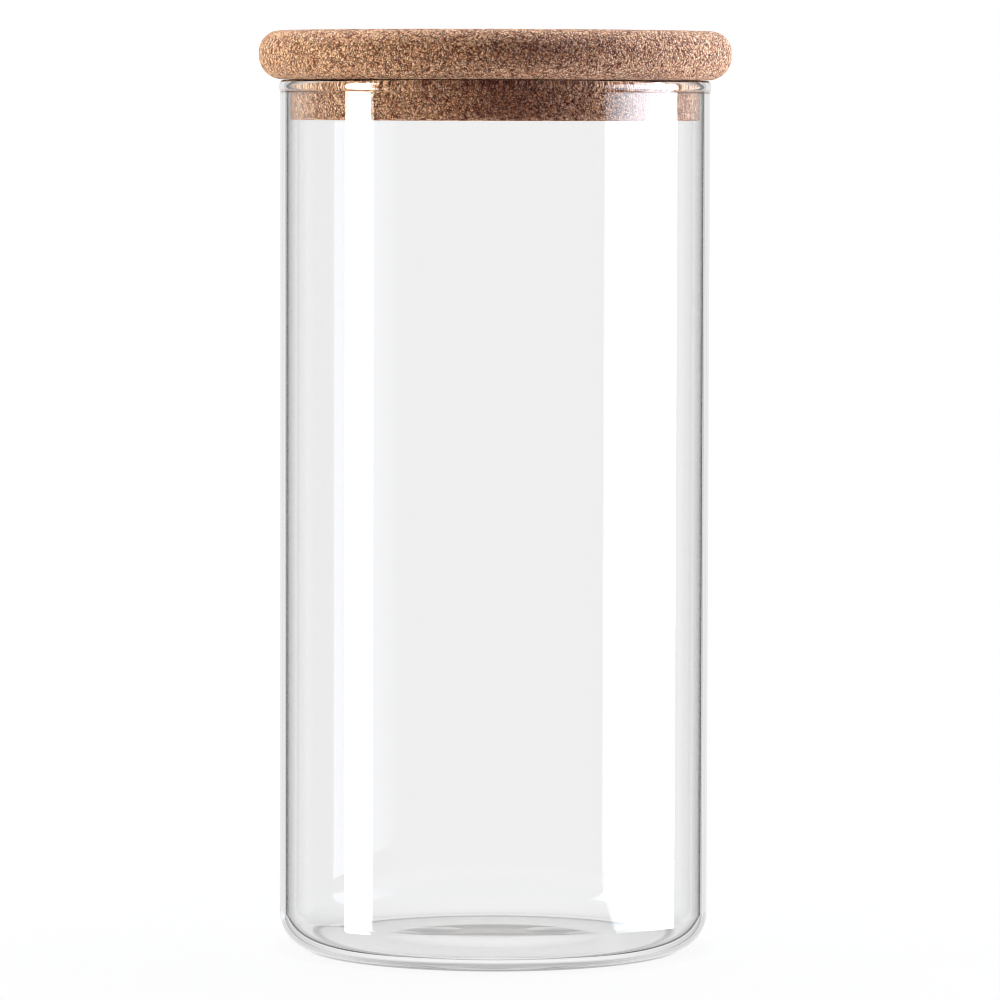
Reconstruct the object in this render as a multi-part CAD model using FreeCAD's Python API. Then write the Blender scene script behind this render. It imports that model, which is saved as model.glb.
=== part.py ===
"""Storage jar: a round glass body with a fire-polished rim, closed by a cork lid.

The lid is two glued cork discs, a wide cap that rests on the rim and a plug that
sits in the mouth. Units are millimetres. +Z is up, and the origin is the centre of
the standing ring, on the surface that the jar stands on.
"""

import FreeCAD
import Part

import math
import os

# Driving dimensions of the glass body
GLASS_RADIUS = 55.0
GLASS_HEIGHT = 223.0
GLASS_WALL = 1.8
GLASS_FLOOR = 2.3
OUTER_CORNER_RADIUS = 9.3
INNER_CORNER_RADIUS = 7.5

# The rim is gathered into a bead that stands a little proud of the wall on both sides
BEAD_PROUD = 0.28
BEAD_INSIDE = 0.4
BEAD_BEND = 3.0
BEAD_DEPTH = 1.72

# The middle of the base is pushed up, so the jar stands on a ring
KICK_RADIUS = 30.0
KICK_RISE = 1.6
FLOOR_DOME_RADIUS = 22.0
FLOOR_DOME_RISE = 0.8

# Driving dimensions of the cork lid
CAP_OVERHANG = 5.5
CAP_THICKNESS = 12.5
CAP_TOP_ROUND = 5.4
CAP_UNDER_ROUND = 6.1
PLUG_REACH = 10.3
PLUG_EDGE_ROUND = 0.6

# Clearances between the lid and the glass
PLUG_CLEARANCE = 0.3
SEAT_CLEARANCE = 0.1

# Sizes and heights that follow from the values above
BORE_RADIUS = GLASS_RADIUS - GLASS_WALL
MOUTH_RADIUS = BORE_RADIUS - BEAD_INSIDE
PLUG_RADIUS = MOUTH_RADIUS - PLUG_CLEARANCE
CAP_RADIUS = GLASS_RADIUS + CAP_OVERHANG
CAP_UNDERSIDE = GLASS_HEIGHT + SEAT_CLEARANCE
CAP_TOP = CAP_UNDERSIDE + CAP_THICKNESS
PLUG_UNDERSIDE = GLASS_HEIGHT - PLUG_REACH

OUTWARD = FreeCAD.Vector(1, 0, 0)
INWARD = FreeCAD.Vector(-1, 0, 0)
UPWARD = FreeCAD.Vector(0, 0, 1)
DOWNWARD = FreeCAD.Vector(0, 0, -1)
AXIS_POINT = FreeCAD.Vector(0, 0, 0)


def point(radius, height):
    """A point of a half section, which lies in the XZ plane."""
    return FreeCAD.Vector(radius, 0, height)


def line(start, end):
    """A straight edge of a half section."""
    return Part.LineSegment(start, end).toShape()


def arc(start, heading, end):
    """A round edge that leaves start along heading and stops at end."""
    chord = end - start
    along = chord.dot(heading)
    across = chord - heading * along
    turn = math.atan2(across.Length, along)
    radius = chord.Length / (2 * math.sin(turn))
    half_chord = 2 * radius * math.sin(turn / 2)
    side = across * (1 / across.Length)
    middle = start + heading * (half_chord * math.cos(turn / 2)) + side * (half_chord * math.sin(turn / 2))
    return Part.Arc(start, middle, end).toShape()


def swelling(outer, inner):
    """Two arcs in an S from one level stretch of the base to another nearer the axis."""
    halfway = (outer + inner) * 0.5
    return [arc(outer, INWARD, halfway), arc(inner, OUTWARD, halfway)]


def turned(edges):
    """The solid of revolution about Z that a closed half section sweeps."""
    outline = Part.Wire(Part.sortEdges(edges)[0])
    return Part.Face(outline).revolve(AXIS_POINT, UPWARD, 360)


def glass_jar():
    """The blown body: standing ring, pushed-up base, straight wall and beaded rim."""
    bead_radius = GLASS_RADIUS + BEAD_PROUD
    half = (bead_radius - MOUTH_RADIUS) / 2
    middle = MOUTH_RADIUS + half
    widest = GLASS_HEIGHT - BEAD_DEPTH
    lip_round = (half * (2 * BEAD_BEND - half) - BEAD_DEPTH**2) / (2 * (BEAD_BEND - BEAD_DEPTH))
    join_turn = math.acos((BEAD_BEND - half) / (BEAD_BEND - lip_round))
    join_reach = lip_round * math.cos(join_turn)
    join_height = GLASS_HEIGHT - lip_round * (1 - math.sin(join_turn))
    outer_drop = math.sqrt(BEAD_PROUD * (2 * BEAD_BEND - BEAD_PROUD))
    inner_drop = math.sqrt(BEAD_INSIDE * (2 * BEAD_BEND - BEAD_INSIDE))

    kick_top = point(0, KICK_RISE)
    kick_edge = point(KICK_RADIUS, 0)
    ring_edge = point(GLASS_RADIUS - OUTER_CORNER_RADIUS, 0)
    wall_foot = point(GLASS_RADIUS, OUTER_CORNER_RADIUS)
    bead_foot = point(GLASS_RADIUS, widest - outer_drop)
    bead_side = point(bead_radius, widest)
    bead_join = point(middle + join_reach, join_height)
    rim_top = point(middle, GLASS_HEIGHT)
    mouth_join = point(middle - join_reach, join_height)
    mouth_side = point(MOUTH_RADIUS, widest)
    mouth_foot = point(BORE_RADIUS, widest - inner_drop)
    bore_foot = point(BORE_RADIUS, GLASS_FLOOR + INNER_CORNER_RADIUS)
    floor_edge = point(BORE_RADIUS - INNER_CORNER_RADIUS, GLASS_FLOOR)
    dome_edge = point(FLOOR_DOME_RADIUS, GLASS_FLOOR)
    dome_top = point(0, GLASS_FLOOR + FLOOR_DOME_RISE)

    outside = [
        *swelling(kick_edge, kick_top),
        line(kick_edge, ring_edge),
        arc(ring_edge, OUTWARD, wall_foot),
        line(wall_foot, bead_foot),
        arc(bead_side, DOWNWARD, bead_foot),
        arc(bead_side, UPWARD, bead_join),
        arc(rim_top, OUTWARD, bead_join),
    ]
    inside = [
        arc(rim_top, INWARD, mouth_join),
        arc(mouth_side, UPWARD, mouth_join),
        arc(mouth_side, DOWNWARD, mouth_foot),
        line(mouth_foot, bore_foot),
        arc(bore_foot, DOWNWARD, floor_edge),
        line(floor_edge, dome_edge),
        *swelling(dome_edge, dome_top),
        line(dome_top, kick_top),
    ]
    return turned(outside + inside)


def lid_cap():
    """The wide cork disc with a rounded edge, which rests on the rim."""
    under_middle = point(0, CAP_UNDERSIDE)
    under_edge = point(CAP_RADIUS - CAP_UNDER_ROUND, CAP_UNDERSIDE)
    side_foot = point(CAP_RADIUS, CAP_UNDERSIDE + CAP_UNDER_ROUND)
    side_head = point(CAP_RADIUS, CAP_TOP - CAP_TOP_ROUND)
    top_edge = point(CAP_RADIUS - CAP_TOP_ROUND, CAP_TOP)
    top_middle = point(0, CAP_TOP)
    return turned(
        [
            line(under_middle, under_edge),
            arc(under_edge, OUTWARD, side_foot),
            line(side_foot, side_head),
            arc(side_head, UPWARD, top_edge),
            line(top_edge, top_middle),
            line(top_middle, under_middle),
        ]
    )


def lid_plug():
    """The cork disc glued under the cap, which fills the mouth."""
    glue_middle = point(0, CAP_UNDERSIDE)
    glue_edge = point(PLUG_RADIUS, CAP_UNDERSIDE)
    side_foot = point(PLUG_RADIUS, PLUG_UNDERSIDE + PLUG_EDGE_ROUND)
    under_edge = point(PLUG_RADIUS - PLUG_EDGE_ROUND, PLUG_UNDERSIDE)
    under_middle = point(0, PLUG_UNDERSIDE)
    return turned(
        [
            line(glue_middle, glue_edge),
            line(glue_edge, side_foot),
            arc(side_foot, DOWNWARD, under_edge),
            line(under_edge, under_middle),
            line(under_middle, glue_middle),
        ]
    )


def main():
    """Builds each piece and writes it to its own file."""
    os.makedirs("parts", exist_ok=True)
    for build in (glass_jar, lid_cap, lid_plug):
        shape = build()
        shape.exportStep(f"parts/{build.__name__}.step")
        print(build.__name__, "valid", shape.isValid(), "volume", round(shape.Volume / 1000, 2), "cm3")


main()
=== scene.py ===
"""Looks of a storage jar: a blown glass body with a beaded rim, closed by a cork lid.

The glass is turned about Z from a half section. The two cork discs of the lid are
worked from fine grids, so that their grain is real relief. Outer sizes come from the
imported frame. Lengths are in metres, +Z is up and the camera looks along +Y.
"""

import logging
import math
from dataclasses import dataclass, field
from enum import Enum
from typing import Any, Iterable, Mapping, Sequence, Union

import bmesh
import bpy
from mathutils import Euler, Matrix, Vector, noise


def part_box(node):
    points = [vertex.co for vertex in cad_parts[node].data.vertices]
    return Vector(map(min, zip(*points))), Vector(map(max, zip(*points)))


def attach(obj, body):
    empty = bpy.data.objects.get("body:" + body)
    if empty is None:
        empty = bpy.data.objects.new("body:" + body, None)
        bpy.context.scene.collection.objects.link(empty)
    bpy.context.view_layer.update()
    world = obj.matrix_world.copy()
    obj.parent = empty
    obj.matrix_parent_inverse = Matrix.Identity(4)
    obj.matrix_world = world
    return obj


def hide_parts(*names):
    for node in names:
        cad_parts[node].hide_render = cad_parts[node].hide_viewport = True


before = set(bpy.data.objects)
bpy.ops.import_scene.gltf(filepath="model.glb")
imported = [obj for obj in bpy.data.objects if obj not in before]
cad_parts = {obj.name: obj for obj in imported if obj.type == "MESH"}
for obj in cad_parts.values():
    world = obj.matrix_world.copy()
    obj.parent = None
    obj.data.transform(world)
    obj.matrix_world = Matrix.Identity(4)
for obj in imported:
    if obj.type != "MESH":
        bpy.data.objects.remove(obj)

LOG = logging.getLogger("jar")
MM = 0.001
MERGE = 0.001 * MM
TINY = 1e-9
QUARTER = math.pi / 2
# Ray depths are whole numbers, so one above this means that a step was taken.
ANY_STEP = 0.5
# Rays with more steps than this are lost in the glass, and find this tone beyond its wall.
LOST_DEPTH = 6.5
WALL_TONE = 0.65
Colour = tuple[float, float, float]
Number = Union["Value", float]


class Body(Enum):
    """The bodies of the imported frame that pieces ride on."""

    JAR = "jar"
    LID = "lid"


class Node(Enum):
    """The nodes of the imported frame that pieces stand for."""

    GLASS = "glass_jar"
    CAP = "lid_cap"
    PLUG = "lid_plug"


class Slot(Enum):
    """The record's material slots."""

    GLASS = "clear_glass"
    CORK = "cork"


class Value:
    """A number worked out by nodes, with Python's operators for its maths."""

    def __init__(self, graph: "Graph", socket: bpy.types.NodeSocket) -> None:
        """Keeps the tree that the socket is in, and the socket."""
        self.graph = graph
        self.socket = socket

    def maths(self, operation: str, *terms: Number) -> "Value":
        """Adds a Math node.

        Args:
            operation: The Math node's operation.
            terms: The numbers that it takes, in order.

        Returns:
            The number that it gives.
        """
        node = self.graph.add("ShaderNodeMath", {"operation": operation}, dict(enumerate(terms)))
        return Value(self.graph, node.outputs[0])

    def __add__(self, other: Number) -> "Value":
        """Gives self + other."""
        return self.maths("ADD", self, other)

    def __radd__(self, other: Number) -> "Value":
        """Gives other + self."""
        return self.maths("ADD", other, self)

    def __sub__(self, other: Number) -> "Value":
        """Gives self - other."""
        return self.maths("SUBTRACT", self, other)

    def __rsub__(self, other: Number) -> "Value":
        """Gives other - self."""
        return self.maths("SUBTRACT", other, self)

    def __mul__(self, other: Number) -> "Value":
        """Gives self * other."""
        return self.maths("MULTIPLY", self, other)

    def __rmul__(self, other: Number) -> "Value":
        """Gives other * self."""
        return self.maths("MULTIPLY", other, self)

    def __truediv__(self, other: Number) -> "Value":
        """Gives self / other."""
        return self.maths("DIVIDE", self, other)

    def __lt__(self, other: Number) -> "Value":
        """Gives 1 where self is below other, and 0 elsewhere."""
        return self.maths("LESS_THAN", self, other)

    def __gt__(self, other: Number) -> "Value":
        """Gives 1 where self is above other, and 0 elsewhere."""
        return self.maths("GREATER_THAN", self, other)

    def __abs__(self) -> "Value":
        """Gives the size of self without its sign."""
        return self.maths("ABSOLUTE", self)

    def turn_from(self, other: "Value") -> "Value":
        """Gives the angle of a direction with self across and other ahead."""
        return self.maths("ARCTAN2", self, other)

    def ramp(self, low: float, high: float) -> "Value":
        """Eases from 0 to 1.

        Args:
            low: Where the result is still 0.
            high: Where the result has reached 1.

        Returns:
            The eased number.
        """
        settings = {"interpolation_type": "SMOOTHSTEP"}
        sockets = {"Value": self, "From Min": low, "From Max": high}
        node = self.graph.add("ShaderNodeMapRange", settings, sockets)
        return Value(self.graph, node.outputs["Result"])


class Graph:
    """A node tree that is built from empty."""

    def __init__(self, tree: bpy.types.NodeTree) -> None:
        """Empties the tree."""
        self.tree = tree
        tree.nodes.clear()

    def add(
        self,
        kind: str,
        settings: Mapping[str, Any] | None = None,
        sockets: Mapping[str | int, Any] | None = None,
    ) -> bpy.types.Node:
        """Adds a node, sets it up and then feeds its sockets.

        Args:
            kind: The node's type.
            settings: The node's own properties. "stops" holds a ramp's positions and colours.
            sockets: Values or links for its inputs, by name or number.

        Returns:
            The new node.
        """
        node = self.tree.nodes.new(kind)
        for name, setting in (settings or {}).items():
            if name == "stops":
                self.set_stops(node.color_ramp, setting)
            else:
                setattr(node, name, setting)
        for name, given in (sockets or {}).items():
            source = given.socket if isinstance(given, Value) else given
            if isinstance(source, bpy.types.NodeSocket):
                self.tree.links.new(source, node.inputs[name])
            else:
                node.inputs[name].default_value = source
        return node

    @staticmethod
    def set_stops(ramp: bpy.types.ColorRamp, stops: Sequence[tuple[float, Colour]]) -> None:
        """Gives a colour ramp its stops.

        Args:
            ramp: The colour ramp.
            stops: Positions and colours, from low to high.
        """
        while len(ramp.elements) < len(stops):
            ramp.elements.new(1.0)
        for element, (position, colour) in zip(ramp.elements, stops):
            element.position = position
            element.color = (*colour, 1.0)

    def value(self, node: bpy.types.Node, output: str) -> Value:
        """Wraps one output of a node."""
        return Value(self, node.outputs[output])

    def blend(self, factor: Number, low: Any, high: Any, how: str = "MIX") -> bpy.types.NodeSocket:
        """Blends two colours.

        Args:
            factor: 0 for low, 1 for high.
            low: A colour or a socket.
            high: A colour or a socket.
            how: The Mix node's blend type.

        Returns:
            The blended colour's socket.
        """
        settings = {"data_type": "RGBA", "blend_type": how}
        node = self.add("ShaderNodeMix", settings, {0: factor, 6: low, 7: high})
        return node.outputs[2]

    def mix_shaders(
        self, factor: Number, low: bpy.types.NodeSocket, high: bpy.types.NodeSocket
    ) -> bpy.types.NodeSocket:
        """Mixes two shaders.

        Args:
            factor: 0 for low, 1 for high.
            low: A shader's socket.
            high: A shader's socket.

        Returns:
            The mixed shader's socket.
        """
        return self.add("ShaderNodeMixShader", sockets={0: factor, 1: low, 2: high}).outputs[0]

    def straight(self, counted: float = 0.0) -> Value:
        """Gives 1 for rays that left the camera and were bent by glass at most, and else 0.

        Args:
            counted: How many steps the shader counts in advance, which is 1 for a world.

        Returns:
            The test's result.
        """
        paths = self.add("ShaderNodeLightPath")
        turns = self.value(paths, "Ray Depth") - self.value(paths, "Transmission Depth")
        return turns < counted + ANY_STEP


def grey(level: float) -> Colour:
    """Gives an even colour of that level."""
    return (level, level, level)


def opaque(colour: Colour) -> tuple[float, float, float, float]:
    """Gives a colour with a full alpha, as sockets take it."""
    return (*colour, 1.0)


class HalfSection:
    """A line in the XZ plane, drawn from its start to its end, that is turned about Z."""

    def __init__(self, radius: float, height: float) -> None:
        """Starts the line at a point."""
        self.mesh = bmesh.new()
        self.end = self.mesh.verts.new((radius, 0, height))

    def line(self, radius: float, height: float, guard: float = 0.1 * MM) -> None:
        """Draws a straight stretch, with a short edge at each end that keeps its shading straight.

        Args:
            radius: Where it ends, from the axis.
            height: Where it ends, along the axis.
            guard: How long the short edges are.
        """
        start = self.end.co.copy()
        end = Vector((radius, 0, height))
        inset = (end - start).normalized() * guard
        for corner in (start + inset, end - inset, end):
            self.end = bmesh.ops.extrude_vert_indiv(self.mesh, verts=[self.end])["verts"][0]
            self.end.co = corner

    def arc(self, radius: float, height: float, angle: float, steps: int) -> None:
        """Draws a round stretch.

        Args:
            radius: The arc's centre, from the axis.
            height: The arc's centre, along the axis.
            angle: How far it turns, positive from +X towards +Z.
            steps: How many edges it has.
        """
        made = bmesh.ops.spin(
            self.mesh,
            geom=[self.end],
            cent=(radius, 0, height),
            axis=(0, -1, 0),
            dvec=(0, 0, 0),
            angle=angle,
            steps=steps,
        )
        self.end = next(part for part in made["geom_last"] if isinstance(part, bmesh.types.BMVert))

    def swell(self, radius: float, height: float, steps: int) -> None:
        """Draws two arcs in an S between level ends.

        Args:
            radius: Where it ends, from the axis.
            height: Where it ends, along the axis.
            steps: How many edges each arc has.
        """
        start = self.end.co.copy()
        across = radius - start.x
        rise = height - start.z
        turn = 2 * math.atan2(abs(rise), abs(across))
        bend = abs(across) / (2 * math.sin(turn))
        way = math.copysign(1, across) * math.copysign(1, rise)
        up = math.copysign(bend, rise)
        self.arc(start.x, start.z + up, way * turn, steps)
        self.arc(radius, height - up, -way * turn, steps)

    def turned(self, steps: int, doublings: int) -> bmesh.types.BMesh:
        """Turns the line about Z into a closed skin, first as a sector that is then doubled.

        Args:
            steps: How many steps the sector has.
            doublings: How often the sector is doubled to make the full turn.

        Returns:
            The skin, with its faces outwards.
        """
        sector = math.tau / 2**doublings
        bmesh.ops.spin(
            self.mesh,
            geom=self.mesh.verts[:] + self.mesh.edges[:],
            cent=(0, 0, 0),
            axis=(0, 0, 1),
            dvec=(0, 0, 0),
            angle=sector,
            steps=steps,
        )
        for _ in range(doublings):
            whole = self.mesh.verts[:] + self.mesh.edges[:] + self.mesh.faces[:]
            copied = bmesh.ops.duplicate(self.mesh, geom=whole)["geom"]
            verts = [part for part in copied if isinstance(part, bmesh.types.BMVert)]
            turn = Matrix.Rotation(sector, 3, "Z")
            bmesh.ops.rotate(self.mesh, verts=verts, cent=(0, 0, 0), matrix=turn)
            sector *= 2
        bmesh.ops.remove_doubles(self.mesh, verts=self.mesh.verts, dist=MERGE)
        bmesh.ops.recalc_face_normals(self.mesh, faces=self.mesh.faces)
        return self.mesh


def piece_from(
    name: str, mesh: bmesh.types.BMesh, material: bpy.types.Material
) -> bpy.types.Object:
    """Makes an object of a finished mesh, at the origin.

    Args:
        name: The piece's name.
        mesh: The finished mesh, which is freed.
        material: The material of all its faces.

    Returns:
        The new object.
    """
    for face in mesh.faces:
        face.smooth = True
    data = bpy.data.meshes.new(name)
    mesh.to_mesh(data)
    mesh.free()
    data.materials.append(material)
    piece = bpy.data.objects.new(name, data)
    bpy.context.scene.collection.objects.link(piece)
    return piece


def place(piece: bpy.types.Object, body: Body, node: Node) -> None:
    """Fits a finished piece to the frame, and reports it.

    Args:
        piece: The piece.
        body: The body that it moves with.
        node: The CAD node that it stands for.
    """
    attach(piece, body.value)
    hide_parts(node.value)
    LOG.info("%s rides on %s, %d faces", piece.name, body.value, len(piece.data.polygons))


@dataclass(frozen=True)
class GlassFinish:
    """Clear borosilicate glass."""

    name: str = "clear_glass"
    index: float = 1.47
    tint: Colour = (1.0, 1.0, 1.0)

    def material(self) -> bpy.types.Material:
        """Makes glass that refracts what is behind it.

        Returns:
            The material.
        """
        made = bpy.data.materials.new(self.name)
        made.use_nodes = True
        graph = Graph(made.node_tree)
        sockets = {
            "Base Color": opaque(self.tint),
            "Roughness": 0.0,
            "IOR": self.index,
            "Transmission Weight": 1.0,
        }
        glass = graph.add("ShaderNodeBsdfPrincipled", sockets=sockets)
        graph.add("ShaderNodeOutputMaterial", sockets={"Surface": glass.outputs[0]})
        return made


@dataclass(frozen=True)
class CorkFinish:
    """Fine agglomerated cork: curled shreds pressed together, with dark gaps and pits, whose
    colour is partly their own and partly painted shade.
    """

    name: str = "cork"
    pale: Colour = (0.98, 0.7, 0.47)
    middle: Colour = (0.77, 0.43, 0.23)
    deep: Colour = (0.5, 0.19, 0.085)
    pit_and_shade: Colour = (0.1, 0.015, 0.005)
    crumb: float = 0.57 * MM
    grit: float = 0.35 * MM
    curl_size: float = 0.9 * MM
    curl_reach: float = 0.52 * MM
    crack_width: float = 0.36
    crack_from: float = 0.15
    crack_to: float = 0.75
    crown_from: float = 0.1
    crown_to: float = 0.75
    shade_share: float = 0.25
    speck_share: float = 0.25
    crown_share: float = 0.5
    deep_at: float = 0.12
    middle_at: float = 0.45
    pale_at: float = 0.8
    crown_height: float = 0.5
    crack_height: float = 0.5
    crumb_height: float = 0.4
    bump_depth: float = 0.48 * MM
    rough: float = 0.82
    crack_rough: float = 0.1
    sheen: float = 0.35

    def material(self) -> bpy.types.Material:
        """Makes the cork's colour, roughness and bump from cell and noise patterns.

        Returns:
            The material.
        """
        made = bpy.data.materials.new(self.name)
        made.use_nodes = True
        graph = Graph(made.node_tree)
        place_in_piece = graph.add("ShaderNodeTexCoord").outputs["Object"]
        curled = self.curl(graph, place_in_piece)
        crumbs = self.cells(graph, curled, self.crumb, "F1")
        cracks = self.cells(graph, curled, self.crumb, "DISTANCE_TO_EDGE")
        grit = self.cells(graph, curled, self.grit, "F1")
        shade = graph.add("ShaderNodeSeparateColor", sockets={"Color": crumbs.outputs["Color"]})
        speck = graph.add("ShaderNodeSeparateColor", sockets={"Color": grit.outputs["Color"]})
        # Each crumb is paler on its crown and deeper towards its edges: partly the cork's own
        # tone, partly a painted highlight on the crowns and painted shade towards the hollows.
        crown = 1 - graph.value(crumbs, "Distance").ramp(self.crown_from, self.crown_to)
        crack = 1 - graph.value(cracks, "Distance").ramp(0.0, self.crack_width)
        tone = graph.value(shade, "Red") * self.shade_share
        tone = tone + graph.value(speck, "Red") * self.speck_share
        tone = tone + crown * self.crown_share
        # The deep and pit colours are partly the cork's own and partly painted shade, saturated as
        # shaded hollows are.
        stops = [
            (self.deep_at, self.deep),
            (self.middle_at, self.middle),
            (self.pale_at, self.pale),
        ]
        colour = graph.add("ShaderNodeValToRGB", {"stops": stops}, {"Fac": tone}).outputs["Color"]
        # The gaps between crumbs are darkened to the pit colour: partly real dark gaps, partly
        # painted shade in the hollows.
        dark = crack * graph.value(shade, "Green").ramp(self.crack_from, self.crack_to)
        colour = graph.blend(dark, colour, opaque(self.pit_and_shade))
        height = crown * self.crown_height - dark * self.crack_height
        height = height + graph.value(shade, "Blue") * self.crumb_height
        sockets = {"Strength": 1.0, "Distance": self.bump_depth, "Height": height}
        bump = graph.add("ShaderNodeBump", sockets=sockets)
        cork = graph.add(
            "ShaderNodeBsdfPrincipled",
            sockets={
                "Base Color": colour,
                "Roughness": self.rough + dark * self.crack_rough,
                "Specular IOR Level": self.sheen,
                "Normal": bump.outputs["Normal"],
            },
        )
        graph.add("ShaderNodeOutputMaterial", sockets={"Surface": cork.outputs[0]})
        return made

    @staticmethod
    def cells(
        graph: Graph, where: bpy.types.NodeSocket, size: float, feature: str
    ) -> bpy.types.Node:
        """Adds a cell pattern.

        Args:
            graph: The tree.
            where: The coordinates.
            size: How wide a cell is.
            feature: The Voronoi feature.

        Returns:
            The pattern's node.
        """
        sockets = {"Vector": where, "Scale": 1 / size}
        return graph.add("ShaderNodeTexVoronoi", {"feature": feature}, sockets)

    def curl(self, graph: Graph, where: bpy.types.NodeSocket) -> bpy.types.NodeSocket:
        """Bends coordinates, so that the crumbs come out as curled shreds.

        Args:
            graph: The tree.
            where: The coordinates.

        Returns:
            The bent coordinates.
        """
        sockets = {"Vector": where, "Scale": 1 / self.curl_size, "Detail": 0.0}
        waves = graph.add("ShaderNodeTexNoise", sockets=sockets).outputs["Color"]
        reach = 2 * self.curl_reach
        sockets = {0: waves, 1: (reach, reach, reach), 2: where}
        bent = graph.add("ShaderNodeVectorMath", {"operation": "MULTIPLY_ADD"}, sockets)
        return bent.outputs["Vector"]


@dataclass
class GlassBody:
    """The jar's glass: a pushed-up base, a straight wall and a beaded rim."""

    finish: GlassFinish
    wall: float = 1.8 * MM
    floor: float = 2.3 * MM
    outer_corner: float = 9.3 * MM
    inner_corner: float = 7.5 * MM
    bead_proud: float = 0.28 * MM
    bead_inside: float = 0.4 * MM
    bead_bend: float = 3.0 * MM
    bead_depth: float = 1.72 * MM
    crease_round: float = 0.25 * MM
    kick_radius: float = 30.0 * MM
    kick_rise: float = 1.6 * MM
    dome_radius: float = 22.0 * MM
    dome_rise: float = 0.8 * MM
    swell_steps: int = 8
    corner_steps: int = 20
    crease_steps: int = 4
    bead_steps: int = 10
    lip_steps: int = 14
    sector_steps: int = 45
    doublings: int = 4
    bead_radius: float = field(init=False)
    height: float = field(init=False)

    def __post_init__(self) -> None:
        """Takes the outer sizes from the frame."""
        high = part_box(Node.GLASS.value)[1]
        self.bead_radius = high.x
        self.height = high.z

    def section(self) -> HalfSection:
        """Draws the glass from the middle of its underside, round the rim, to its inner floor.

        Returns:
            The half section.
        """
        radius = self.bead_radius - self.bead_proud
        bore = radius - self.wall
        mouth = bore - self.bead_inside
        half = (self.bead_radius - mouth) / 2
        bend = self.bead_bend
        lip = (2 * bend * half - half**2 - self.bead_depth**2) / (2 * (bend - self.bead_depth))
        join_turn = math.acos((bend - half) / (bend - lip))
        widest = self.height - self.bead_depth
        reach = bend + self.crease_round
        outer_turn = math.acos(1 - self.bead_proud / reach)
        inner_turn = math.acos(1 - self.bead_inside / reach)
        outer_foot = widest - reach * math.sin(outer_turn)
        inner_foot = widest - reach * math.sin(inner_turn)
        bore_foot = self.floor + self.inner_corner
        line = HalfSection(0, self.kick_rise)
        line.swell(self.kick_radius, 0, self.swell_steps)
        line.line(radius - self.outer_corner, 0)
        line.arc(radius - self.outer_corner, self.outer_corner, QUARTER, self.corner_steps)
        line.line(radius, outer_foot)
        line.arc(radius + self.crease_round, outer_foot, -outer_turn, self.crease_steps)
        line.arc(self.bead_radius - bend, widest, outer_turn + join_turn, self.bead_steps)
        line.arc(mouth + half, self.height - lip, math.pi - 2 * join_turn, self.lip_steps)
        line.arc(mouth + bend, widest, join_turn + inner_turn, self.bead_steps)
        line.arc(bore - self.crease_round, inner_foot, -inner_turn, self.crease_steps)
        line.line(bore, bore_foot)
        line.arc(bore - self.inner_corner, bore_foot, -QUARTER, self.corner_steps)
        line.line(self.dome_radius, self.floor)
        line.swell(0, self.floor + self.dome_rise, self.swell_steps)
        return line

    def build(self) -> bpy.types.Object:
        """Turns the glass and fits it to the frame.

        Returns:
            The piece.
        """
        mesh = self.section().turned(self.sector_steps, self.doublings)
        piece = piece_from("blown_glass", mesh, self.finish.material())
        place(piece, Body.JAR, Node.GLASS)
        return piece


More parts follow.
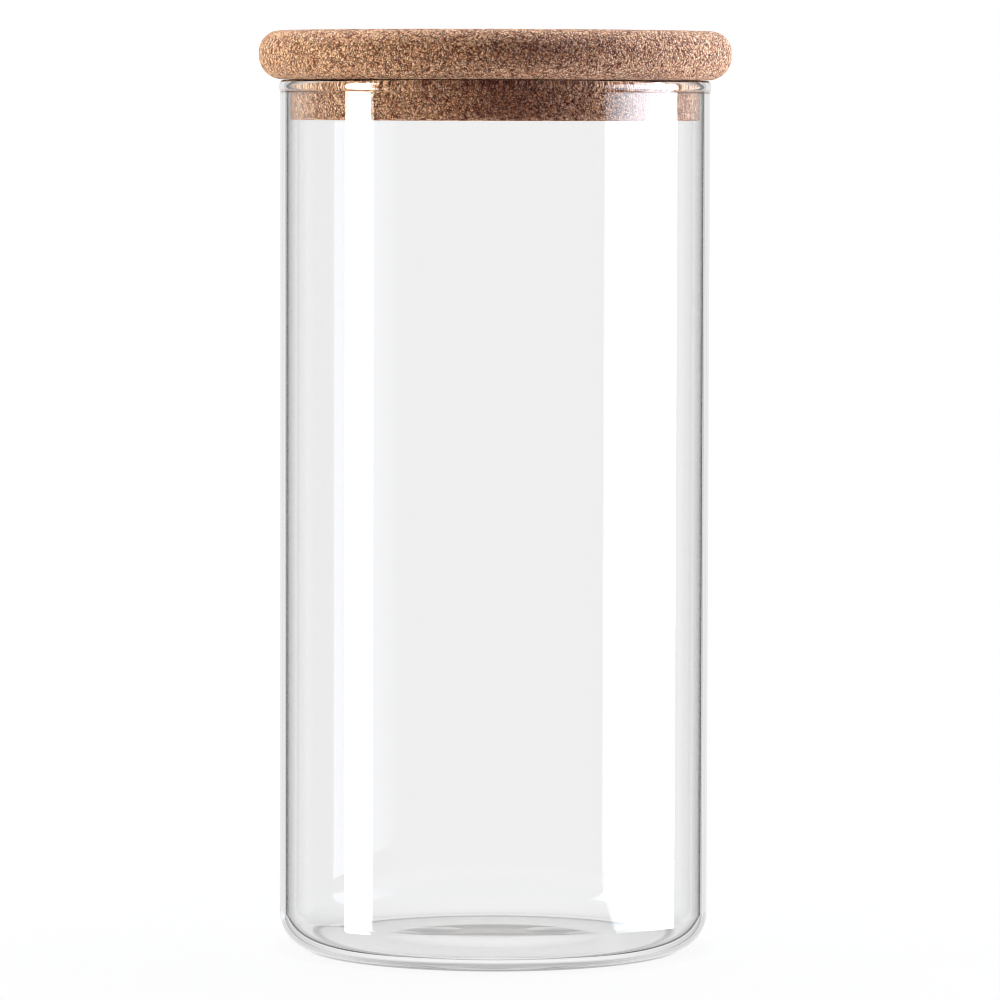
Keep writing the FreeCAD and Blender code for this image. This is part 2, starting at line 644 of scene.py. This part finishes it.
@dataclass
class CorkDisc:
    """A disc of pressed cork: one face from a fine grid, a worked edge and a plain far face."""

    name: str
    node: Node
    finish: bpy.types.Material
    face_round: float
    far_round: float
    face_up: bool
    cells: int
    grain: float
    relief: float
    far_ring: float = 0.8
    least_steps: int = 3
    radius: float = field(init=False)
    low: float = field(init=False)
    high: float = field(init=False)

    def __post_init__(self) -> None:
        """Takes the outer sizes from the frame."""
        low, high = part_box(self.node.value)
        self.radius = high.x
        self.low = low.z
        self.high = high.z

    @staticmethod
    def to_round(point: Vector) -> Vector:
        """Moves a point of the square of half side 1 to the disc of radius 1.

        Args:
            point: The point in the square.

        Returns:
            Its place in the disc.
        """
        across, along = point.x, point.y
        if abs(across) < TINY and abs(along) < TINY:
            return Vector((0, 0, 0))
        if abs(across) > abs(along):
            reach, turn = across, QUARTER / 2 * along / across
        else:
            reach, turn = along, QUARTER - QUARTER / 2 * across / along
        return Vector((reach * math.cos(turn), reach * math.sin(turn), 0))

    def edge_rings(self) -> Iterable[tuple[float, float]]:
        """Walks over the worked edge from the fine face to the far face.

        Returns:
            Each ring's radius and its depth below the fine face.
        """
        step = math.tau * self.radius / (4 * self.cells)
        thick = self.high - self.low
        face_steps = max(self.least_steps, round(self.face_round * QUARTER / step))
        far_steps = max(self.least_steps, round(self.far_round * QUARTER / step))
        straight = thick - self.face_round - self.far_round
        straight_steps = max(1, round(straight / step))
        for i in range(1, face_steps + 1):
            turn = QUARTER * i / face_steps
            inset = self.face_round * (1 - math.sin(turn))
            yield self.radius - inset, self.face_round * (1 - math.cos(turn))
        for i in range(1, straight_steps + 1):
            yield self.radius, self.face_round + straight * i / straight_steps
        if self.far_round:
            for i in range(1, far_steps + 1):
                turn = QUARTER * i / far_steps
                inset = self.far_round * (1 - math.cos(turn))
                yield self.radius - inset, thick - self.far_round * (1 - math.sin(turn))

    def shape(self) -> bmesh.types.BMesh:
        """Works the disc from its fine face over the edge to its far face.

        Returns:
            The closed mesh, without grain.
        """
        mesh = bmesh.new()
        bmesh.ops.create_grid(mesh, x_segments=self.cells, y_segments=self.cells, size=1)
        face = self.high if self.face_up else self.low
        away = -1 if self.face_up else 1
        flat = self.radius - self.face_round
        for vert in mesh.verts:
            vert.co = self.to_round(vert.co) * flat
            vert.co.z = face
        rim = [edge for edge in mesh.edges if edge.is_boundary]
        reach, deep = flat, 0.0
        rings = [*self.edge_rings(), (self.radius * self.far_ring, self.high - self.low)]
        for radius, depth in rings:
            made = bmesh.ops.extrude_edge_only(mesh, edges=rim)["geom"]
            verts = [part for part in made if isinstance(part, bmesh.types.BMVert)]
            edges = [part for part in made if isinstance(part, bmesh.types.BMEdge)]
            rim = [edge for edge in edges if edge.is_boundary]
            scale = radius / reach
            bmesh.ops.scale(mesh, vec=(scale, scale, 1), verts=verts)
            bmesh.ops.translate(mesh, vec=(0, 0, away * (depth - deep)), verts=verts)
            reach, deep = radius, depth
        bmesh.ops.edgeloop_fill(mesh, edges=rim)
        bmesh.ops.recalc_face_normals(mesh, faces=mesh.faces)
        mesh.normal_update()
        return mesh

    def add_grain(self, mesh: bmesh.types.BMesh) -> None:
        """Sinks the surface between the granules, so that the outer size stays.

        Args:
            mesh: The closed mesh, which is changed.
        """
        away = -1 if self.face_up else 1
        moves = []
        for vert in mesh.verts:
            distances = noise.voronoi(vert.co / self.grain)[0]
            share = 1 - max(0.0, away * vert.normal.z) ** 2
            moves.append(vert.normal * (-self.relief * share * min(1.0, distances[0])))
        for vert, move in zip(mesh.verts, moves):
            vert.co += move

    def build(self) -> bpy.types.Object:
        """Works the disc and fits it to the frame.

        Returns:
            The piece.
        """
        mesh = self.shape()
        self.add_grain(mesh)
        piece = piece_from(self.name, mesh, self.finish)
        place(piece, Body.LID, self.node)
        return piece


@dataclass
class CorkLid:
    """The lid: a wide cap on the rim and a plug in the mouth."""

    finish: CorkFinish
    cap_top_round: float = 5.4 * MM
    cap_under_round: float = 6.1 * MM
    plug_edge_round: float = 0.6 * MM
    cap_cells: int = 225
    plug_cells: int = 200
    grain: float = 0.9 * MM
    relief: float = 0.22 * MM

    def build(self) -> list[bpy.types.Object]:
        """Works both discs.

        Returns:
            The cap and the plug.
        """
        cork = self.finish.material()
        grain = self.grain, self.relief
        rounds = self.cap_top_round, self.cap_under_round
        cap = CorkDisc("cork_cap", Node.CAP, cork, *rounds, True, self.cap_cells, *grain)
        rounds = self.plug_edge_round, 0.0
        plug = CorkDisc("cork_plug", Node.PLUG, cork, *rounds, False, self.plug_cells, *grain)
        return [cap.build(), plug.build()]


class Glow(Enum):
    """How a softbox's light is spread over its width."""

    EVEN = "even"
    FADING = "fading to the front"


@dataclass(frozen=True)
class Softbox:
    """A flat upright lamp beside the jar, between a rear and a front edge seen from above."""

    name: str
    rear: tuple[float, float]
    front: tuple[float, float]
    low: float
    high: float
    radiance: float
    colour: Colour
    glow: Glow = Glow.EVEN
    fade_from: float = 0.05
    fade_to: float = 1.3
    far_depth: float = LOST_DEPTH - 1
    far_share: float = 0.26
    lost_depth: float = LOST_DEPTH
    lost_share: float = 0.05

    def build(self) -> bpy.types.Object:
        """Makes the lamp.

        Returns:
            The lamp, which the camera doesn't see.
        """
        rear = Vector((*self.rear, 0))
        front = Vector((*self.front, 0))
        middle = (rear + front) / 2
        inward = (front - rear).cross(Vector((0, 0, 1)))
        inward *= -math.copysign(1, inward.dot(middle))
        lamp = bpy.data.lights.new(self.name, "AREA")
        lamp.shape = "RECTANGLE"
        lamp.size = (front - rear).length
        lamp.size_y = self.high - self.low
        lamp.energy = self.radiance * math.pi * lamp.size * lamp.size_y
        lamp.color = self.colour
        self.dress(lamp)
        made = bpy.data.objects.new(self.name, lamp)
        made.location = middle + Vector((0, 0, (self.low + self.high) / 2))
        made.rotation_euler = inward.to_track_quat("-Z", "Y").to_euler()
        made.visible_camera = False
        bpy.context.scene.collection.objects.link(made)
        return made

    def dress(self, lamp: bpy.types.Light) -> None:
        """Spreads the light over the lamp's width, and dims it for rays lost in the glass.

        Args:
            lamp: The lamp, whose width runs from its front edge to its rear edge.
        """
        lamp.use_nodes = True
        graph = Graph(lamp.node_tree)
        paths = graph.add("ShaderNodeLightPath")
        mirrored = graph.value(paths, "Diffuse Depth") < ANY_STEP
        depth = graph.value(paths, "Ray Depth")
        dimmed = (1 - self.far_share) * (depth > self.far_depth)
        dimmed = dimmed + (self.far_share - self.lost_share) * (depth > self.lost_depth)
        strength = 1 - mirrored * dimmed
        if self.glow is Glow.FADING:
            over = graph.add("ShaderNodeNewGeometry").outputs["Parametric"]
            parts = graph.add("ShaderNodeSeparateXYZ", sockets={"Vector": over})
            along = 1 - graph.value(parts, "X")
            strength = strength * (1 - along.ramp(self.fade_from, self.fade_to))
        light = graph.add("ShaderNodeEmission", sockets={"Strength": strength})
        graph.add("ShaderNodeOutputLight", sockets={"Surface": light.outputs[0]})


@dataclass(frozen=True)
class Overhead:
    """A soft square lamp above the jar, which isn't seen through the glass."""

    name: str = "overhead"
    radiance: float = 7.9
    colour: Colour = (0.84, 0.93, 1.0)
    size: float = 0.6
    location: tuple[float, float, float] = (0.0, 0.3, 0.85)

    def build(self) -> bpy.types.Object:
        """Makes the lamp.

        Returns:
            The lamp, which faces down.
        """
        lamp = bpy.data.lights.new(self.name, "AREA")
        lamp.color = self.colour
        lamp.size = self.size
        lamp.energy = self.radiance * math.pi * lamp.size**2
        made = bpy.data.objects.new(self.name, lamp)
        made.location = self.location
        made.visible_camera = False
        made.visible_transmission = False
        bpy.context.scene.collection.objects.link(made)
        return made


@dataclass(frozen=True)
class View:
    """The camera at the photograph's viewing angle. Its pitch and roll are in degrees."""

    across: float = 1.49 * MM
    back: float = 1645.9 * MM
    up: float = 218.05 * MM
    pitch: float = 3.569
    roll: float = 0.15
    lens: float = 231.1
    sensor: float = 36.0

    def build(self) -> bpy.types.Object:
        """Makes the camera that the scene renders from.

        Returns:
            The camera.
        """
        data = bpy.data.cameras.new("camera")
        data.sensor_width = self.sensor
        data.lens = self.lens
        made = bpy.data.objects.new("camera", data)
        tilt = Euler((math.radians(90 - self.pitch), 0, 0)).to_matrix()
        roll = Matrix.Rotation(math.radians(self.roll), 3, "Z")
        stand = Matrix.Translation((self.across, -self.back, self.up))
        made.matrix_world = stand @ (tilt @ roll).to_4x4()
        bpy.context.scene.collection.objects.link(made)
        bpy.context.scene.camera = made
        return made


@dataclass(frozen=True)
class Surroundings:
    """A white background, the screens that the glass reflects and the light on the cork.

    The ring gives the screens' tones at bearings in degrees from straight behind the jar.
    The turns, over which one light gives way to another, are bearings in radians.
    """

    ring: Sequence[tuple[float, float]] = (
        (0.0, 1.0),
        (4.0, 1.0),
        (7.0, 0.86),
        (17.0, 0.86),
        (20.0, 0.66),
        (22.5, 0.9),
        (26.0, 0.9),
        (26.8, 0.03),
        (31.0, 0.03),
        (33.5, 0.42),
        (39.0, 0.42),
        (45.0, 0.75),
        (60.0, 0.7),
        (68.0, 0.35),
        (90.0, 0.15),
        (110.0, 0.05),
    )
    left_fill: Colour = (1.05, 1.05, 1.05)
    right_fill: Colour = (3.7, 4.4, 5.6)
    behind_fill: Colour = (0.7, 0.8, 0.95)
    front_fill: Colour = (0.1, 0.0, 0.0)
    table_fill: Colour = (1.8, 1.75, 1.7)
    side_reach: float = 0.5
    behind_turn: tuple[float, float] = (0.4, 1.1)
    front_turn: tuple[float, float] = (1.0, 1.75)
    table_turn: tuple[float, float] = (1.2, 2.0)
    table_from: float = 0.1
    table_ease: float = 0.35
    lost_tone: float = 0.1
    through_depth: float = 2.5
    sky_from: float = 0.28
    sky_ease: float = 0.06
    sky_tone: float = 0.1

    def build(self) -> bpy.types.World:
        """Makes the world, which differs by what kind of ray meets it.

        Returns:
            The world.
        """
        world = bpy.data.worlds.new("studio")
        bpy.context.scene.world = world
        world.use_nodes = True
        world.cycles.sampling_method = "NONE"
        graph = Graph(world.node_tree)
        towards = graph.add("ShaderNodeTexCoord").outputs["Generated"]
        parts = graph.add("ShaderNodeSeparateXYZ", sockets={"Vector": towards})
        bearing = abs(graph.value(parts, "X").turn_from(graph.value(parts, "Y")))
        screens = self.screens(graph, parts, bearing)
        fill = self.fill(graph, parts, bearing)
        paths = graph.add("ShaderNodeLightPath")
        lost = graph.value(paths, "Ray Depth") > LOST_DEPTH
        through = graph.value(paths, "Transmission Depth") > self.through_depth
        far = graph.blend(through, opaque(grey(WALL_TONE)), opaque(grey(self.lost_tone)))
        colour = graph.blend(lost, screens, far)
        colour = graph.blend(graph.value(paths, "Diffuse Depth") > ANY_STEP, colour, fill)
        colour = graph.blend(graph.straight(1.0), colour, opaque(grey(1.0)))
        light = graph.add("ShaderNodeBackground", sockets={"Color": colour, "Strength": 1.0})
        graph.add("ShaderNodeOutputWorld", sockets={"Surface": light.outputs[0]})
        return world

    def screens(
        self, graph: Graph, parts: bpy.types.Node, bearing: Value
    ) -> bpy.types.NodeSocket:
        """Gives the pale and dark screens that the glass reflects, under a dim ceiling.

        Args:
            graph: The tree.
            parts: The node that splits the direction.
            bearing: The angle from straight behind the jar, in radians.

        Returns:
            The colour's socket.
        """
        stops = [(degrees / 180, grey(level)) for degrees, level in self.ring]
        ring = graph.add("ShaderNodeValToRGB", {"stops": stops}, {"Fac": bearing / math.pi})
        above = graph.value(parts, "Z").ramp(self.sky_from, self.sky_from + self.sky_ease)
        return graph.blend(above, ring.outputs["Color"], opaque(grey(self.sky_tone)))

    def fill(self, graph: Graph, parts: bpy.types.Node, bearing: Value) -> bpy.types.NodeSocket:
        """Gives the light that the cork gets from the back, the sides, the front and the table.

        Args:
            graph: The tree.
            parts: The node that splits the direction.
            bearing: The angle from straight behind the jar, in radians.

        Returns:
            The colour's socket.
        """
        front = opaque(self.front_fill)
        side = graph.value(parts, "X").ramp(-self.side_reach, self.side_reach)
        back = graph.blend(side, opaque(self.left_fill), opaque(self.right_fill))
        back = graph.blend(bearing.ramp(*self.behind_turn), opaque(self.behind_fill), back)
        fill = graph.blend(bearing.ramp(*self.front_turn), back, front)
        table = graph.blend(bearing.ramp(*self.table_turn), opaque(self.table_fill), front)
        down = 0 - graph.value(parts, "Z")
        below = down.ramp(self.table_from, self.table_from + self.table_ease)
        return graph.blend(below, fill, table)


@dataclass(frozen=True)
class Floor:
    """A round white floor that keeps the jar's shadow and fades into the background.

    The painted contact shadow gives tones at radii in millimetres: a painted shadow ring, dark
    where the glass stands.
    """

    radius: float = 200.0 * MM
    sides: int = 128
    gap: float = 0.02 * MM
    tone: float = 0.45
    bounce_tone: float = 0.78
    shadow_share: float = 0.05
    shadow_from: float = 45.0 * MM
    shadow_full: float = 55.0 * MM
    shadow_fade: float = 100.0 * MM
    clear_from: float = 49.0 * MM
    clear_full: float = 51.0 * MM
    painted_contact_shadow: Sequence[tuple[float, float]] = (
        (0.0, 1.0),
        (44.5, 1.0),
        (46.0, 0.45),
        (47.0, 0.45),
        (48.5, 0.95),
        (58.0, 1.0),
    )

    def build(self) -> bpy.types.Object:
        """Makes the floor a hair below the jar, so that their faces don't meet.

        Returns:
            The floor.
        """
        mesh = bmesh.new()
        drop = Matrix.Translation((0, 0, -self.gap))
        bmesh.ops.create_circle(
            mesh, cap_ends=True, segments=self.sides, radius=self.radius, matrix=drop
        )
        made = piece_from("floor", mesh, self.material())
        return made

    def material(self) -> bpy.types.Material:
        """Makes the floor's looks, which differ by what kind of ray meets it.

        Returns:
            The material.
        """
        made = bpy.data.materials.new("floor")
        made.use_nodes = True
        graph = Graph(made.node_tree)
        where = graph.add("ShaderNodeTexCoord").outputs["Object"]
        length = graph.add("ShaderNodeVectorMath", {"operation": "LENGTH"}, {0: where})
        reach = graph.value(length, "Value")
        # A painted contact shadow: a dark ring on the floor round where the glass stands.
        stops = [(radius * MM / self.radius, grey(level)) for radius, level in self.painted_contact_shadow]
        tone = graph.add("ShaderNodeValToRGB", {"stops": stops}, {"Fac": reach / self.radius})
        paths = graph.add("ShaderNodeLightPath")
        # A surface counts one step less than the world does.
        lost = graph.value(paths, "Ray Depth") > LOST_DEPTH - 1
        # The floor's emission carries the painted contact shadow.
        sockets = {"Color": tone.outputs["Color"], "Strength": 1 - (1 - WALL_TONE) * lost}
        white = graph.add("ShaderNodeEmission", sockets=sockets).outputs[0]
        clear = graph.add("ShaderNodeBsdfTransparent").outputs[0]
        matt = self.matt(graph, self.tone)
        bounce = self.matt(graph, self.bounce_tone)
        shade = self.shadow_share * reach.ramp(self.shadow_from, self.shadow_full)
        shade = shade * (1 - reach.ramp(self.shadow_fade, self.radius))
        seen = graph.mix_shaders(shade, white, matt)
        mirrored = graph.mix_shaders(reach.ramp(self.clear_from, self.clear_full), white, clear)
        mixed = graph.mix_shaders(graph.straight(), mirrored, seen)
        diffuse = graph.value(paths, "Diffuse Depth") > ANY_STEP
        mixed = graph.mix_shaders(diffuse, mixed, bounce)
        graph.add("ShaderNodeOutputMaterial", sockets={"Surface": mixed})
        return made

    @staticmethod
    def matt(graph: Graph, tone: float) -> bpy.types.NodeSocket:
        """Adds a matt grey shader."""
        return graph.add("ShaderNodeBsdfDiffuse", sockets={"Color": opaque(grey(tone))}).outputs[0]


@dataclass(frozen=True)
class Studio:
    """All that isn't the jar: the camera, the surroundings, the floor and three lamps."""

    view: View = View()
    surroundings: Surroundings = Surroundings()
    floor: Floor = Floor()
    left: Softbox = Softbox(
        name="left_strip",
        rear=(-0.924, -0.086),
        front=(-0.866, -0.359),
        low=-0.2,
        high=0.72,
        radiance=15.0,
        colour=(0.99, 1.06, 1.0),
    )
    right: Softbox = Softbox(
        name="right_box",
        rear=(0.5, 0.175),
        front=(0.84, -0.492),
        low=-0.09,
        high=0.38,
        radiance=10.0,
        colour=(0.81, 0.91, 1.06),
        glow=Glow.FADING,
    )
    overhead: Overhead = Overhead()
    pixel_width: float = 0.9
    bounces: int = 48

    def build(self) -> None:
        """Sets it all up, with enough bounces for the walls and the base of the glass."""
        bpy.context.scene.view_settings.view_transform = "Standard"
        light_paths = bpy.context.scene.cycles
        light_paths.filter_width = self.pixel_width
        light_paths.blur_glossy = 0.0
        light_paths.max_bounces = self.bounces
        light_paths.glossy_bounces = self.bounces
        light_paths.transmission_bounces = self.bounces
        self.view.build()
        self.surroundings.build()
        self.floor.build()
        for lamp in (self.left, self.right, self.overhead):
            lamp.build()


def main() -> None:
    """Builds the jar and the studio round it."""
    logging.basicConfig(level=logging.INFO, format="%(name)s: %(message)s")
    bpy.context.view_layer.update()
    GlassBody(GlassFinish()).build()
    CorkLid(CorkFinish()).build()
    Studio().build()


if __name__ == "__main__":
    main()
